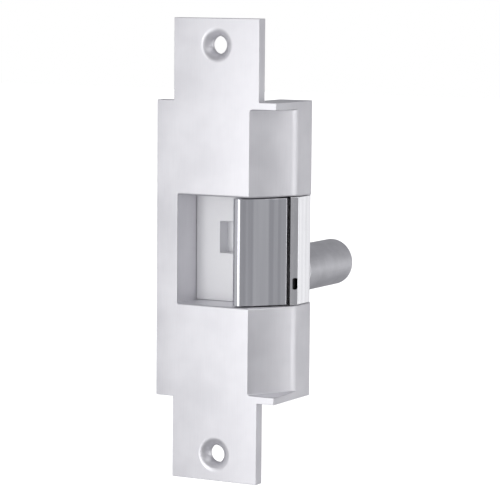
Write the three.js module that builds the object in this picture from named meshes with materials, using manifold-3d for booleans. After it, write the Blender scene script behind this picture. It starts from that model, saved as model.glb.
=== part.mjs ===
// Electric door strike with a cast face plate, a rotating keeper, a lock lever and a push solenoid.
// Millimetres. X runs across the plate, Y back into the frame, Z up.
// The origin is the centre of the plate's front face.

import * as THREE from 'three';
import { mergeVertices } from 'three/addons/utils/BufferGeometryUtils.js';
import Module from 'manifold-3d';

const wasm = await Module();
wasm.setup();

// ---- Driving dimensions ----

const GAP = 0.3;            // working gap between pieces that meet
const ROUND = 32;           // sides of a large round face
const INNER_ROUND = 20;     // sides of a piece inside the solenoid
const SMALL_ROUND = 12;     // sides of a small screw or pin

const plateHeight = 152.4;
const plateThickness = 3.97;
const tabWidth = 31.75;
const bodyWidth = 44.45;
const bodyHeight = 98.4;

const mountSpacing = 134.9;
const mountHoleRadius = 2.95;
const mountHeadRadius = 5.85;
const mountSinkDepth = 3.35;

const lipDepth = 25.4;
const rampStartX = 12.4;
const rampEndY = 16.5;
const flangeThickness = 2.55;
const rampBulge = 0.5;       // the ramp is slightly crowned
const rampWallX = 2.2;
const sideWall = 3.9;

const pocketLeft = -14.3;
const pocketHalf = 18;
const pocketDepth = 12.7;
const pocketSideWall = 3.5;
const pocketEndWall = 5;

const axisX = 8;            // keeper pivot
const axisY = 13;
const pinRadius = 2.4;
const runningFit = 0.08;

const keeperHalf = 17.6;
const keeperLeft = 5.57;
const hubRadius = 4.2;
const noseRadius = 2.7;
const noseY = 2.8;
const noseEnd = 290;        // degrees, where the nose meets the outer face
const outerBulge = 0.45;
const outerEnd = [19.9, 12.6];
const keeperRear = [[19.4, 13.8], [14.2, 14.4]];
const hubAngles = [70, 215];
const jawNeckY = 7.8;
const springPocketRadius = 5;
const springPocketDepth = 4.5;
const tailReach = 11.9;
const tailAngles = [70, 77, 84];
const tailRoot = 3.2;
const tailRootAngles = [30, 110];
const tailHeel = [14.2, 14.2];
const tailLow = -12.2;
const tailHigh = -6.2;

const leverPivotX = -9;
const leverPivotY = 29.2;
const leverLow = -11.2;
const leverHigh = -7.2;
const leverPinRadius = 1.5;
const leverBossRadius = 3.4;
const leverHalfWidth = 1.8;
const leverTip = 10.8;
const dogLeft = 4.8;
const dogRight = 9.1;
const dogReach = 3.9;

const caseLeft = -17.8;
const caseRight = 16.4;
const flangeBack = 27.4;
const chamberBack = 33;
const coverBack = 34.6;
const chamberLow = -13.6;
const chamberHigh = -4.8;
const blockLow = -17.4;
const blockHigh = 3;
const blockRight = 3.2;
const flangeRight = 20.9;
const chamberLeft = -13.6;
const chamberRight = 12.6;
const dogWayLeft = -3;
const dogWayFront = 20.5;
const sweepAngles = [75, 164.5];
const leverPinCover = 4.6;

const recessLeft = -5.3;
const recessRight = 1.6;
const recessLow = -1.85;
const recessHigh = 8.75;
const recessDepth = 5.3;

const solenoidX = 8;
const solenoidZ = -9.2;
const canRadius = 7.94;
const canWall = 1;
const canFront = 37.2;
const canBack = 69.9;
const bushingHole = 4.9;
const windingInner = 5.1;
const windingOuter = 6.4;
const coilFlange = 6.7;
const bobbinTube = 4.15;
const bobbinBarrel = 4.9;
const bobbinBack = 66.4;
const poleBack = 47;
const plungerFront = 50.6;
const plungerBack = 66;
const plungerRadius = 3.8;
const rodRadius = 1.4;
const rodTip = 31.3;
const rodBackEnd = 54;
const capRadius = 6.75;
const capFront = 66.7;

const guardSection = [
  [20.75, 14.1],
  [22.205, 16.55],
  [22.205, 25.1],
  [16.6, 25.1],
  [16.6, 22.6],
  [18.4, 21.2],
  [19.6, 17.6],
  [20.2, 15.4],
];
const gaugeSlot = { x: 21.55, low: -12.3, high: -9.4, radius: 0.55, floor: 17.2 };

const caseScrew = { shank: 1.4, head: 2.3, height: 1.8, tip: 17, tapped: 1.6, clear: 1.8 };
const coverScrew = { shank: 1.15, head: 1.9, height: 1.4, tip: 29, tapped: 1.3, clear: 1.5 };
const guardScrewSize = { shank: 1.2, head: 1.95, socket: 0.8, tip: 22.7, tapped: 1.3, clear: 1.45 };

const caseScrewSpots = [-15.2, 13.5].flatMap((x) => [-20.5, 20.5].map((z) => [x, z]));
const coverScrewSpots = [-15.6, 14.4].flatMap((x) => [-15.4, 1].map((z) => [x, z]));
const guardScrewSpots = [-12, 12].map((z) => [18.6, z]);

const halfTab = tabWidth / 2;
const halfBody = bodyWidth / 2;
const halfPlate = plateHeight / 2;
const halfBodyHeight = bodyHeight / 2;
const recessHalf = halfBodyHeight - flangeThickness;
const frameHalf = pocketHalf + pocketEndWall;

// ---- Finishes ----

const satinSteel = { color: 0xc9c8cc, roughness: 0.42, metalness: 0.9 };
const polishedSteel = { color: 0xd8d8da, roughness: 0.16, metalness: 1 };
const zincPlate = { color: 0xb9bcc0, roughness: 0.38, metalness: 0.9 };
const castZinc = { color: 0xa3a4a8, roughness: 0.5, metalness: 0.8 };
const springSteel = { color: 0x8d8f94, roughness: 0.3, metalness: 1 };
const darkSteel = { color: 0x6f7176, roughness: 0.35, metalness: 1 };
const canSteel = { color: 0x9b9ba2, roughness: 0.4, metalness: 0.9 };
const copperWire = { color: 0xb0592c, roughness: 0.35, metalness: 0.9 };
const nylon = { color: 0xe8e4d8, roughness: 0.6, metalness: 0 };
const blackRubber = { color: 0x1c1c1e, roughness: 0.8, metalness: 0 };

// ---- Solids ----

function toSolid(geometry) {
  const bare = geometry.clone();
  bare.deleteAttribute('normal');
  bare.deleteAttribute('uv');
  const merged = mergeVertices(bare, 1e-4);
  return new wasm.Manifold(new wasm.Mesh({
    numProp: 3,
    vertProperties: Float32Array.from(merged.attributes.position.array),
    triVerts: Uint32Array.from(merged.index.array),
  }));
}

function toGeometry(solid) {
  const { vertProperties, triVerts } = solid.getMesh();
  const geometry = new THREE.BufferGeometry();
  geometry.setAttribute('position', new THREE.BufferAttribute(vertProperties, 3));
  geometry.setIndex(new THREE.BufferAttribute(triVerts, 1));
  geometry.computeVertexNormals();
  return geometry;
}

function block(x0, x1, y0, y1, z0, z1) {
  const geometry = new THREE.BoxGeometry(x1 - x0, y1 - y0, z1 - z0);
  geometry.translate((x0 + x1) / 2, (y0 + y1) / 2, (z0 + z1) / 2);
  return toSolid(geometry);
}

function shapeOf(points) {
  return new THREE.Shape(points.map(([x, y]) => new THREE.Vector2(x, y)));
}

// A plan section (X, Y) raised from z0 to z1.
function upright(shape, z0, z1, curveSegments = 12) {
  const options = { depth: z1 - z0, bevelEnabled: false, curveSegments };
  const geometry = new THREE.ExtrudeGeometry(shape, options);
  geometry.translate(0, 0, z0);
  return toSolid(geometry);
}

// A front section (X, Z) carried back from y0 to y1.
function carriedBack(shape, y0, y1, curveSegments = 12) {
  const options = { depth: y1 - y0, bevelEnabled: false, curveSegments };
  const geometry = new THREE.ExtrudeGeometry(shape, options);
  geometry.rotateX(Math.PI / 2);
  geometry.translate(0, y1, 0);
  return toSolid(geometry);
}

function rodUp(x, y, radius, z0, z1, sides = ROUND) {
  const geometry = new THREE.CylinderGeometry(radius, radius, z1 - z0, sides);
  geometry.rotateX(Math.PI / 2);
  geometry.translate(x, y, (z0 + z1) / 2);
  return toSolid(geometry);
}

function rodBack(x, z, radius, y0, y1, sides = SMALL_ROUND, backRadius = radius) {
  const geometry = new THREE.CylinderGeometry(backRadius, radius, y1 - y0, sides);
  geometry.translate(x, (y0 + y1) / 2, z);
  return toSolid(geometry);
}

// A profile of [radius, y] points turned round an axis that runs back through (x, z).
function turned(x, z, profile, sides = ROUND) {
  const points = profile.map(([radius, y]) => new THREE.Vector2(radius, y));
  const geometry = new THREE.LatheGeometry(points, sides);
  geometry.translate(x, 0, z);
  return toSolid(geometry);
}

function joined(solids) {
  return solids.reduce((whole, piece) => whole.add(piece));
}

function cut(solid, tools) {
  return tools.reduce((rest, tool) => rest.subtract(tool), solid);
}

function atAxis(radius, degrees) {
  const angle = THREE.MathUtils.degToRad(degrees);
  return [axisX + radius * Math.cos(angle), axisY + radius * Math.sin(angle)];
}

function arcPoints(cx, cy, radius, from, to, steps) {
  return Array.from({ length: steps + 1 }, (_, i) => {
    const angle = THREE.MathUtils.degToRad(from + ((to - from) * i) / steps);
    return [cx + radius * Math.cos(angle), cy + radius * Math.sin(angle)];
  });
}

// ---- Face plate: one casting with tabs, ramped lip and latch pocket ----

// The crowned ramp in plan, carried on straight past both of its ends.
function rampLine(overshoot) {
  const run = [halfBody - rampStartX, rampEndY];
  const length = Math.hypot(...run);
  const along = run.map((part) => part / length);
  const outward = [along[1], -along[0]];
  const steps = 8;
  const line = Array.from({ length: steps + 1 }, (_, i) => {
    const t = i / steps;
    const rise = rampBulge * 4 * t * (1 - t);
    return [
      rampStartX + run[0] * t + outward[0] * rise,
      run[1] * t + outward[1] * rise,
    ];
  });
  return [
    [rampStartX - along[0] * overshoot, -along[1] * overshoot],
    ...line,
    [halfBody + along[0] * overshoot, rampEndY + along[1] * overshoot],
  ];
}

function facePlate() {
  const back = plateThickness;
  const tabs = block(-halfTab, halfTab, 0, back, -halfPlate, halfPlate);
  const middle = block(-halfBody, halfBody, 0, back, -halfBodyHeight, halfBodyHeight);
  const lipSection = shapeOf([
    [rampStartX, 0],
    [halfBody, 0],
    [halfBody, lipDepth],
    [halfBody - sideWall, lipDepth],
    [halfBody - sideWall, rampEndY + 1],
    [rampStartX - rampWallX, back],
    [rampStartX - rampWallX, 0],
  ]);
  const lip = upright(lipSection, -halfBodyHeight, halfBodyHeight);
  const flanges = [1, -1].map((side) => {
    const edges = [side * recessHalf, side * halfBodyHeight].sort((a, b) => a - b);
    return block(rampStartX - rampWallX, halfBody, 0, lipDepth, ...edges);
  });
  const frameLeft = pocketLeft - pocketSideWall;
  const frame = block(frameLeft, halfBody, 0, lipDepth, -frameHalf, frameHalf);

  const overshoot = 2;
  const rampCut = upright(shapeOf([
    ...rampLine(overshoot),
    [halfBody + overshoot * 2, rampEndY + overshoot * 2],
    [halfBody + overshoot * 2, -overshoot],
    [rampStartX - overshoot, -overshoot],
  ]), -recessHalf, recessHalf);
  const pocket = block(
    pocketLeft, halfBody + overshoot, -overshoot, lipDepth + overshoot, -pocketHalf, pocketHalf,
  );
  const pinHole = rodUp(axisX, axisY, pinRadius + runningFit, -frameHalf - 1, frameHalf + 1);
  const mountHoles = [1, -1].flatMap((side) => {
    const z = (side * mountSpacing) / 2;
    return [
      rodBack(0, z, mountHoleRadius, -1, back + 1, ROUND),
      rodBack(0, z, mountHeadRadius, 0, mountSinkDepth, ROUND, mountHoleRadius),
      rodBack(0, z, mountHeadRadius, -1, 0.001, ROUND),
    ];
  });
  const tappedFrom = caseScrew.tip - 2;
  const caseScrewHoles = caseScrewSpots.map(
    ([x, z]) => rodBack(x, z, caseScrew.tapped, tappedFrom, lipDepth + 1),
  );
  const solid = joined([tabs, middle, lip, ...flanges, frame]);
  return cut(solid, [rampCut, pocket, pinHole, ...mountHoles, ...caseScrewHoles]);
}

// ---- Lip guard: polished bar that closes the outer corner of the opening ----

function lipGuard() {
  const half = pocketHalf - GAP / 2;
  const rear = lipDepth - GAP;
  const bar = upright(shapeOf(guardSection), -half, half);
  const { x, low, high, radius, floor } = gaugeSlot;
  const slot = new THREE.Shape();
  slot.absarc(x, high, radius, 0, Math.PI);
  slot.absarc(x, low, radius, Math.PI, Math.PI * 2);
  const slotCut = carriedBack(slot, pocketDepth, floor, 6);
  const screwHoles = guardScrewSpots.map(
    ([sx, sz]) => rodBack(sx, sz, guardScrewSize.tapped, guardScrewSize.tip - 0.7, rear + 1),
  );
  return cut(bar, [slotCut, ...screwHoles]);
}

// ---- Keeper: polished jaw on a vertical pin, with a locking tail ----

function keeper() {
  const nose = arcPoints(keeperLeft + noseRadius, noseY, noseRadius, 180, noseEnd, 12);
  const outerStart = nose[nose.length - 1];
  const along = [outerEnd[0] - outerStart[0], outerEnd[1] - outerStart[1]];
  const length = Math.hypot(...along);
  const outward = [along[1] / length, -along[0] / length];
  const faceSteps = 8;
  const outer = Array.from({ length: faceSteps }, (_, i) => {
    const t = (i + 1) / faceSteps;
    const rise = outerBulge * 4 * t * (1 - t);
    return [
      outerStart[0] + along[0] * t + outward[0] * rise,
      outerStart[1] + along[1] * t + outward[1] * rise,
    ];
  });
  const hub = arcPoints(axisX, axisY, hubRadius, ...hubAngles, 16);
  const section = shapeOf([...nose, ...outer, ...keeperRear, ...hub, [keeperLeft, jawNeckY]]);
  const jaw = upright(section, -keeperHalf, keeperHalf);

  const [rootStart, rootEnd] = tailRootAngles;
  const tailSection = shapeOf([
    atAxis(tailRoot, rootStart),
    tailHeel,
    ...tailAngles.map((angle) => atAxis(tailReach, angle)),
    atAxis(tailRoot, rootEnd),
  ]);
  const tail = upright(tailSection, tailLow, tailHigh);
  const bore = rodUp(axisX, axisY, pinRadius + runningFit, -keeperHalf - 1, keeperHalf + 1);
  const pocketEdge = keeperHalf - springPocketDepth;
  const springPockets = [
    rodUp(axisX, axisY, springPocketRadius, pocketEdge, keeperHalf + 1),
    rodUp(axisX, axisY, springPocketRadius, -keeperHalf - 1, -pocketEdge),
  ];
  return cut(jaw.add(tail), [bore, ...springPockets]);
}

function keeperPin() {
  const grooveRadius = 1.9;
  const headRadius = 3.7;
  const headLow = frameHalf + 0.1;
  const headHeight = 1.5;
  const overhang = 2;
  const grooveLow = frameHalf + 0.2;
  const grooveHigh = frameHalf + 1;
  const shaft = rodUp(axisX, axisY, pinRadius, -frameHalf - overhang, headLow + headHeight / 3);
  const head = rodUp(axisX, axisY, headRadius, headLow, headLow + headHeight);
  const groove = cut(
    rodUp(axisX, axisY, pinRadius + 1, -grooveHigh, -grooveLow),
    [rodUp(axisX, axisY, grooveRadius, -grooveHigh - 1, -grooveLow + 1)],
  );
  return cut(shaft.add(head), [groove]);
}

function pinClip() {
  const clipRadius = 4.6;
  const clipBore = 2;
  const mouthHalf = 1.4;
  const low = -frameHalf - 0.9;
  const high = -frameHalf - 0.3;
  const ring = rodUp(axisX, axisY, clipRadius, low, high);
  const bore = rodUp(axisX, axisY, clipBore, low - 1, high + 1);
  const mouth = block(
    axisX - mouthHalf, axisX + mouthHalf, axisY, axisY + clipRadius + 1, low - 1, high + 1,
  );
  return cut(ring, [bore, mouth]);
}

class Helix extends THREE.Curve {
  constructor(x, y, radius, z0, z1, turns) {
    super();
    Object.assign(this, { x, y, radius, z0, z1, turns });
  }

  getPoint(t, target = new THREE.Vector3()) {
    const angle = t * this.turns * Math.PI * 2;
    return target.set(
      this.x + this.radius * Math.cos(angle),
      this.y + this.radius * Math.sin(angle),
      this.z0 + (this.z1 - this.z0) * t,
    );
  }
}

function torsionSpring(x, y, radius, wire, z0, z1, turns) {
  const section = new THREE.Shape();
  section.absarc(0, 0, wire, 0, Math.PI * 2);
  const path = new Helix(x, y, radius, z0 + wire, z1 - wire, turns);
  const stepsPerTurn = 12;
  const options = { steps: Math.round(turns * stepsPerTurn), curveSegments: 3, extrudePath: path };
  return toSolid(new THREE.ExtrudeGeometry(section, options));
}

function keeperSpring(side) {
  const coilRadius = 3.7;
  const wire = 0.45;
  const turns = 3.25;
  const inner = side * (keeperHalf - springPocketDepth + GAP / 2);
  const outer = side * (keeperHalf + 0.1);
  const [low, high] = [inner, outer].sort((a, b) => a - b);
  return torsionSpring(axisX, axisY, coilRadius, wire, low, high, turns);
}

// ---- Lock case: closes the back of the pocket and houses the lock lever ----

function lockCase() {
  const front = block(
    pocketLeft + GAP, blockRight, pocketDepth, lipDepth, -pocketHalf + GAP, pocketHalf - GAP,
  );
  const flangeHalf = frameHalf - 0.2;
  const flange = block(caseLeft, flangeRight, lipDepth, flangeBack, -flangeHalf, flangeHalf);
  const chamberBlock = block(caseLeft, caseRight, flangeBack, chamberBack, blockLow, blockHigh);
  const recess = block(
    recessLeft, recessRight, pocketDepth - 1, pocketDepth + recessDepth, recessLow, recessHigh,
  );
  const sweepFront = pocketDepth - GAP;
  const sweepReach = tailReach + GAP * 2;
  const tailSweep = upright(
    shapeOf([
      [axisX, sweepFront],
      ...arcPoints(axisX, axisY, sweepReach, ...sweepAngles, 16),
      [blockRight - 0.8, sweepFront],
    ]),
    chamberLow, chamberHigh,
  );
  const chamber = block(
    chamberLeft, chamberRight, lipDepth - 0.2, chamberBack + 1, chamberLow, chamberHigh,
  );
  const dogWay = block(dogWayLeft, chamberRight, dogWayFront, lipDepth, chamberLow, chamberHigh);
  const pinTop = blockHigh - leverPinCover;
  const pinHole = rodUp(
    leverPivotX, leverPivotY, leverPinRadius + runningFit, blockLow - 1, pinTop + 0.2, SMALL_ROUND,
  );
  const caseHoles = caseScrewSpots.map(
    ([x, z]) => rodBack(x, z, caseScrew.clear, lipDepth - 1, flangeBack + 1),
  );
  const sinkFront = lipDepth + 0.9;
  const guardHoles = guardScrewSpots.flatMap(([x, z]) => [
    rodBack(x, z, guardScrewSize.clear, lipDepth - 1, flangeBack + 1),
    rodBack(
      x, z, guardScrewSize.clear, sinkFront, flangeBack, SMALL_ROUND, guardScrewSize.head + 0.15,
    ),
  ]);
  const coverHoles = coverScrewSpots.map(
    ([x, z]) => rodBack(x, z, coverScrew.tapped, coverScrew.tip - 1, chamberBack + 1),
  );
  const solid = joined([front, flange, chamberBlock]);
  return cut(solid, [
    recess, tailSweep, chamber, dogWay, pinHole, ...caseHoles, ...guardHoles, ...coverHoles,
  ]);
}

function caseCover() {
  const sheet = block(caseLeft, caseRight, chamberBack + 0.05, coverBack, blockLow, blockHigh);
  const poleHole = rodBack(
    solenoidX, solenoidZ, bushingHole, chamberBack - 1, coverBack + 1, ROUND,
  );
  const screwHoles = coverScrewSpots.map(
    ([x, z]) => rodBack(x, z, coverScrew.clear, chamberBack - 1, coverBack + 1),
  );
  return cut(sheet, [poleHole, ...screwHoles]);
}

// ---- Lock lever and its pin ----

function lockLever() {
  const left = leverPivotX;
  const front = leverPivotY - leverHalfWidth;
  const rear = leverPivotY + leverHalfWidth;
  const dogTip = leverPivotY - dogReach;
  const flare = 0.6;
  const section = shapeOf([
    [left, front - flare],
    [dogLeft - leverHalfWidth + 0.2, front],
    [dogLeft, dogTip],
    [dogRight, dogTip],
    [dogRight, leverPivotY - 0.7],
    [leverTip, leverPivotY - 0.1],
    [leverTip, rear],
    [left, rear + flare],
  ]);
  const bar = upright(section, leverLow, leverHigh);
  const boss = rodUp(left, leverPivotY, leverBossRadius, leverLow, leverHigh);
  const bore = rodUp(
    left, leverPivotY, leverPinRadius + runningFit, leverLow - 1, leverHigh + 1, SMALL_ROUND,
  );
  return cut(bar.add(boss), [bore]);
}

function leverPin() {
  const top = blockHigh - leverPinCover;
  return rodUp(leverPivotX, leverPivotY, leverPinRadius, blockLow + 0.2, top, SMALL_ROUND);
}

function leverSpring() {
  const coilRadius = 2.3;
  const wire = 0.35;
  const turns = 2.25;
  const low = leverHigh + GAP / 2;
  const high = chamberHigh - GAP / 2;
  return torsionSpring(leverPivotX, leverPivotY, coilRadius, wire, low, high, turns);
}

// ---- Fasteners ----

// A turned screw whose head sits on the face at seatY and whose shank runs forward.
function panScrew([x, z], { shank, head, height, tip }, seatY) {
  const socketRadius = head * 0.45;
  const socketDepth = height * 0.6;
  const shoulder = height * 0.7;
  const crown = head * 0.86;
  const point = shank * 0.7;
  const top = seatY + height;
  const profile = [
    [0, tip],
    [point, tip],
    [shank, tip + shank * 0.5],
    [shank, seatY],
    [head, seatY],
    [head, seatY + shoulder],
    [crown, top],
    [socketRadius, top],
    [socketRadius, top - socketDepth],
    [0, top - socketDepth],
  ];
  return turned(x, z, profile, SMALL_ROUND);
}

function guardScrew([x, z]) {
  const { shank, head, socket, tip } = guardScrewSize;
  const rear = flangeBack - 0.1;
  const neck = lipDepth + 1.05;
  const profile = [
    [0, tip],
    [shank, tip],
    [shank, neck],
    [head, rear],
    [socket, rear],
    [socket, rear - socket],
    [0, rear - socket],
  ];
  return turned(x, z, profile, SMALL_ROUND);
}

// ---- Push solenoid ----

function solenoidWasher() {
  const inner = bushingHole + 0.05;
  const outer = 7;
  const low = coverBack + 0.05;
  const high = coverBack + 0.65;
  const profile = [[inner, low], [outer, low], [outer, high], [inner, high], [inner, low]];
  return turned(solenoidX, solenoidZ, profile);
}

function solenoidNut() {
  const corner = 7.2;
  const sides = 6;
  const hexagon = shapeOf(arcPoints(solenoidX, solenoidZ, corner, 0, 300, sides - 1));
  const low = coverBack + 0.7;
  const high = canFront - 0.1;
  const nut = carriedBack(hexagon, low, high);
  return cut(nut, [rodBack(solenoidX, solenoidZ, bushingHole, low - 1, high + 1, ROUND)]);
}

function solenoidCan() {
  const frontWall = canFront + 1.5;
  const inner = canRadius - canWall;
  const hole = bushingHole + 0.05;
  const edge = 0.5;
  return turned(solenoidX, solenoidZ, [
    [hole, canFront],
    [canRadius - edge, canFront],
    [canRadius, canFront + edge],
    [canRadius, canBack - edge * 2],
    [canRadius - edge, canBack - edge * 0.3],
    [canRadius - canWall, canBack],
    [inner, frontWall],
    [hole, frontWall],
    [hole, canFront],
  ]);
}

function frontPole() {
  const bore = 1.75;
  const thread = 4.8;
  const nose = 4;
  const chamfer = 0.4;
  const flangeFront = canFront + 1.6;
  const flangeRear = flangeFront + 0.8;
  return turned(solenoidX, solenoidZ, [
    [bore, chamberBack],
    [thread - chamfer, chamberBack],
    [thread, chamberBack + chamfer],
    [thread, flangeFront],
    [coilFlange, flangeFront],
    [coilFlange, flangeRear],
    [nose, flangeRear],
    [nose, poleBack],
    [bore, poleBack],
    [bore, chamberBack],
  ], INNER_ROUND);
}

function bobbin() {
  const low = canFront + 2.5;
  const high = bobbinBack;
  const flange = 1;
  return turned(solenoidX, solenoidZ, [
    [bobbinTube, low],
    [coilFlange, low],
    [coilFlange, low + flange],
    [bobbinBarrel, low + flange],
    [bobbinBarrel, high - flange],
    [coilFlange, high - flange],
    [coilFlange, high],
    [bobbinTube, high],
    [bobbinTube, low],
  ], INNER_ROUND);
}

function coilWinding() {
  const low = canFront + 3.6;
  const high = bobbinBack - 1.1;
  const profile = [
    [windingInner, low],
    [windingOuter, low],
    [windingOuter, high],
    [windingInner, high],
    [windingInner, low],
  ];
  return turned(solenoidX, solenoidZ, profile, INNER_ROUND);
}

function plunger() {
  const front = plungerFront;
  const rear = plungerBack;
  const chamfer = 0.4;
  const socket = 1.5;
  const socketDepth = 3.6;
  return turned(solenoidX, solenoidZ, [
    [0, front + socketDepth],
    [socket, front + socketDepth],
    [socket, front],
    [plungerRadius - chamfer, front],
    [plungerRadius, front + chamfer],
    [plungerRadius, rear - chamfer],
    [plungerRadius - chamfer, rear],
    [0, rear],
  ], INNER_ROUND);
}

function pushRod() {
  const dome = arcPoints(0, rodTip + rodRadius, rodRadius, 270, 360, 5);
  return turned(solenoidX, solenoidZ, [
    [0, rodTip],
    ...dome.slice(1),
    [rodRadius, rodBackEnd],
    [0, rodBackEnd],
  ], SMALL_ROUND);
}

const leadX = solenoidX - 3.3;
const sleeveRadius = 1.8;
const leadBore = 0.95;

function endCap() {
  const high = canBack - 0.6;
  const disc = turned(solenoidX, solenoidZ, [
    [0, capFront],
    [capRadius, capFront],
    [capRadius, high],
    [0, high],
  ]);
  const leadHole = rodBack(leadX, solenoidZ, sleeveRadius + 0.15, capFront - 1, high + 1);
  return cut(disc, [leadHole]);
}

function leadBushing() {
  const face = canBack - 0.5;
  const low = face - 2.4;
  const high = face + 3.8;
  const collar = 2.7;
  const shoulder = 2.2;
  return turned(leadX, solenoidZ, [
    [leadBore, low],
    [sleeveRadius, low],
    [sleeveRadius, face],
    [collar, face],
    [collar, face + 1],
    [shoulder, face + 1.3],
    [sleeveRadius, high],
    [leadBore, high],
    [leadBore, low],
  ], SMALL_ROUND);
}

// ---- Assembly ----

const strike = new THREE.Group();

function add(name, solid, finish) {
  const mesh = new THREE.Mesh(toGeometry(solid), new THREE.MeshStandardMaterial(finish));
  mesh.name = name;
  strike.add(mesh);
}

add('face_plate', facePlate(), satinSteel);
add('lip_guard', lipGuard(), polishedSteel);
add('keeper', keeper(), polishedSteel);
add('keeper_pin', keeperPin(), darkSteel);
add('keeper_pin_clip', pinClip(), springSteel);
add('keeper_spring_upper', keeperSpring(1), springSteel);
add('keeper_spring_lower', keeperSpring(-1), springSteel);
add('lock_case', lockCase(), castZinc);
add('case_cover', caseCover(), zincPlate);
caseScrewSpots.forEach((spot, i) => {
  add(`case_screw_${i + 1}`, panScrew(spot, caseScrew, flangeBack + 0.05), zincPlate);
});
coverScrewSpots.forEach((spot, i) => {
  add(`cover_screw_${i + 1}`, panScrew(spot, coverScrew, coverBack + 0.05), zincPlate);
});
guardScrewSpots.forEach((spot, i) => {
  add(`guard_screw_${i + 1}`, guardScrew(spot), zincPlate);
});
add('lock_lever', lockLever(), zincPlate);
add('lever_pin', leverPin(), darkSteel);
add('lever_spring', leverSpring(), springSteel);
add('solenoid_washer', solenoidWasher(), zincPlate);
add('solenoid_nut', solenoidNut(), zincPlate);
add('solenoid_can', solenoidCan(), canSteel);
add('solenoid_front_pole', frontPole(), zincPlate);
add('solenoid_bobbin', bobbin(), nylon);
add('solenoid_winding', coilWinding(), copperWire);
add('solenoid_plunger', plunger(), zincPlate);
add('push_rod', pushRod(), darkSteel);
add('solenoid_end_cap', endCap(), canSteel);
add('lead_bushing', leadBushing(), blackRubber);

export default strike;
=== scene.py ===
# %% [markdown]
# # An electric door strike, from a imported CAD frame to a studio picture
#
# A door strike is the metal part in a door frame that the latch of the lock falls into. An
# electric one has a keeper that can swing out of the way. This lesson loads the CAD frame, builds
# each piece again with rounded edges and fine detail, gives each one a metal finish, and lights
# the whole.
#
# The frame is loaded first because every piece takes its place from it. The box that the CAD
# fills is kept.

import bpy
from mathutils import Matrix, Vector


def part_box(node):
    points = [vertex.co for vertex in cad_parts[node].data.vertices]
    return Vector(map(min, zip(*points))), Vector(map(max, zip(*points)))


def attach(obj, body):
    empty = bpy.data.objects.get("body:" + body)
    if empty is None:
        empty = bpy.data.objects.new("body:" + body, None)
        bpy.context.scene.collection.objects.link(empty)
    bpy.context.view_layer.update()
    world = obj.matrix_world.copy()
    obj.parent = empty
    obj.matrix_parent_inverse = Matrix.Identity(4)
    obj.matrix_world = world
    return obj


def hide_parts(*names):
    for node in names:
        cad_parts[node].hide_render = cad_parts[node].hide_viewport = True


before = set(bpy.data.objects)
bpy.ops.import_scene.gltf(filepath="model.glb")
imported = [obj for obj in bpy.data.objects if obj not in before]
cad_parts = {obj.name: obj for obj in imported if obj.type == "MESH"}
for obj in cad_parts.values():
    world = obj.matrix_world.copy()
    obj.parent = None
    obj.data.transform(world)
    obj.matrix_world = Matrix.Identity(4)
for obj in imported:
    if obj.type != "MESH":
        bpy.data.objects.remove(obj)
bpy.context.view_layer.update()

# %% [markdown]
# ## Working in millimetres
#
# The strike is small, so its drawing is in millimetres and Blender's metres would be tiny
# numbers. Each piece is shaped in millimetres and shrunk to metres as its last step. A short
# function reads the box of a CAD node in millimetres, and that is where the pieces' places come
# from.

# %% Units and places
import math

import bmesh
import bpy
from mathutils import Matrix, Vector

MM = 0.001
TURN = 2 * math.pi


def span(node):
    """Lowest and highest corner of a CAD node, in millimetres."""
    low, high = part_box(node)
    return low / MM, high / MM


def middle(node):
    low, high = span(node)
    return (low + high) / 2


plate_low, plate_high = span("face_plate")
print("plate, mm:", [round(v, 2) for v in plate_high - plate_low])

# %% [markdown]
# ## From an outline to a solid
#
# Most pieces of a strike are plates and bars, which have one outline all the way through. The
# outline is a few vertices with one face, and an extrude gives it depth. Round pieces start from
# half of their section, which a full spin turns round the axis. Merging doubles closes the seam
# and the poles, and the normals are worked out again after that, because a spin can leave a shape
# inside out.

# %% Outlines and turned shapes
MERGE = 1e-4


def as_piece(bm, name="blank"):
    """Closes a bmesh and makes it an object."""
    bmesh.ops.remove_doubles(bm, verts=bm.verts, dist=MERGE)
    bmesh.ops.recalc_face_normals(bm, faces=bm.faces)
    mesh = bpy.data.meshes.new(name)
    bm.to_mesh(mesh)
    bm.free()
    piece = bpy.data.objects.new(name, mesh)
    bpy.context.scene.collection.objects.link(piece)
    return piece


def prism(points, low, high, axis="Z"):
    """A solid with that outline: (x, y) carried up from low to high, or (x, z) carried back."""
    def lift(a, b, c):
        return (a, b, c) if axis == "Z" else (a, c, b)

    bm = bmesh.new()
    face = bm.faces.new([bm.verts.new(lift(a, b, low)) for a, b in points])
    made = bmesh.ops.extrude_face_region(bm, geom=[face])["geom"]
    far = [v for v in made if isinstance(v, bmesh.types.BMVert)]
    bmesh.ops.translate(bm, verts=far, vec=lift(0, 0, high - low))
    return as_piece(bm)


def block(x, y, z):
    """A box from pairs of lowest and highest x, y and z."""
    return prism([(x[0], y[0]), (x[1], y[0]), (x[1], y[1]), (x[0], y[1])], *z)


def turned(profile, centre, axis="Y", sides=64):
    """A profile of (radius, place along the axis) points, spun round the axis through centre."""
    a, b = centre
    along = Vector((0, 1, 0)) if axis == "Y" else Vector((0, 0, 1))
    foot = Vector((a, 0, b)) if axis == "Y" else Vector((a, b, 0))
    bm = bmesh.new()
    line = [bm.verts.new(foot + Vector((r, 0, 0)) + along * s) for r, s in profile]
    edges = [bm.edges.new(pair) for pair in zip(line, line[1:])]
    bmesh.ops.spin(bm, geom=line + edges, cent=foot, axis=along, angle=TURN, steps=sides,
                   use_merge=True)
    return as_piece(bm)


def arc(cx, cy, radius, start, end, steps=8):
    """Points on an arc, by angles in degrees."""
    angles = [math.radians(start + (end - start) * i / steps) for i in range(steps + 1)]
    return [(cx + radius * math.cos(t), cy + radius * math.sin(t)) for t in angles]


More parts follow.
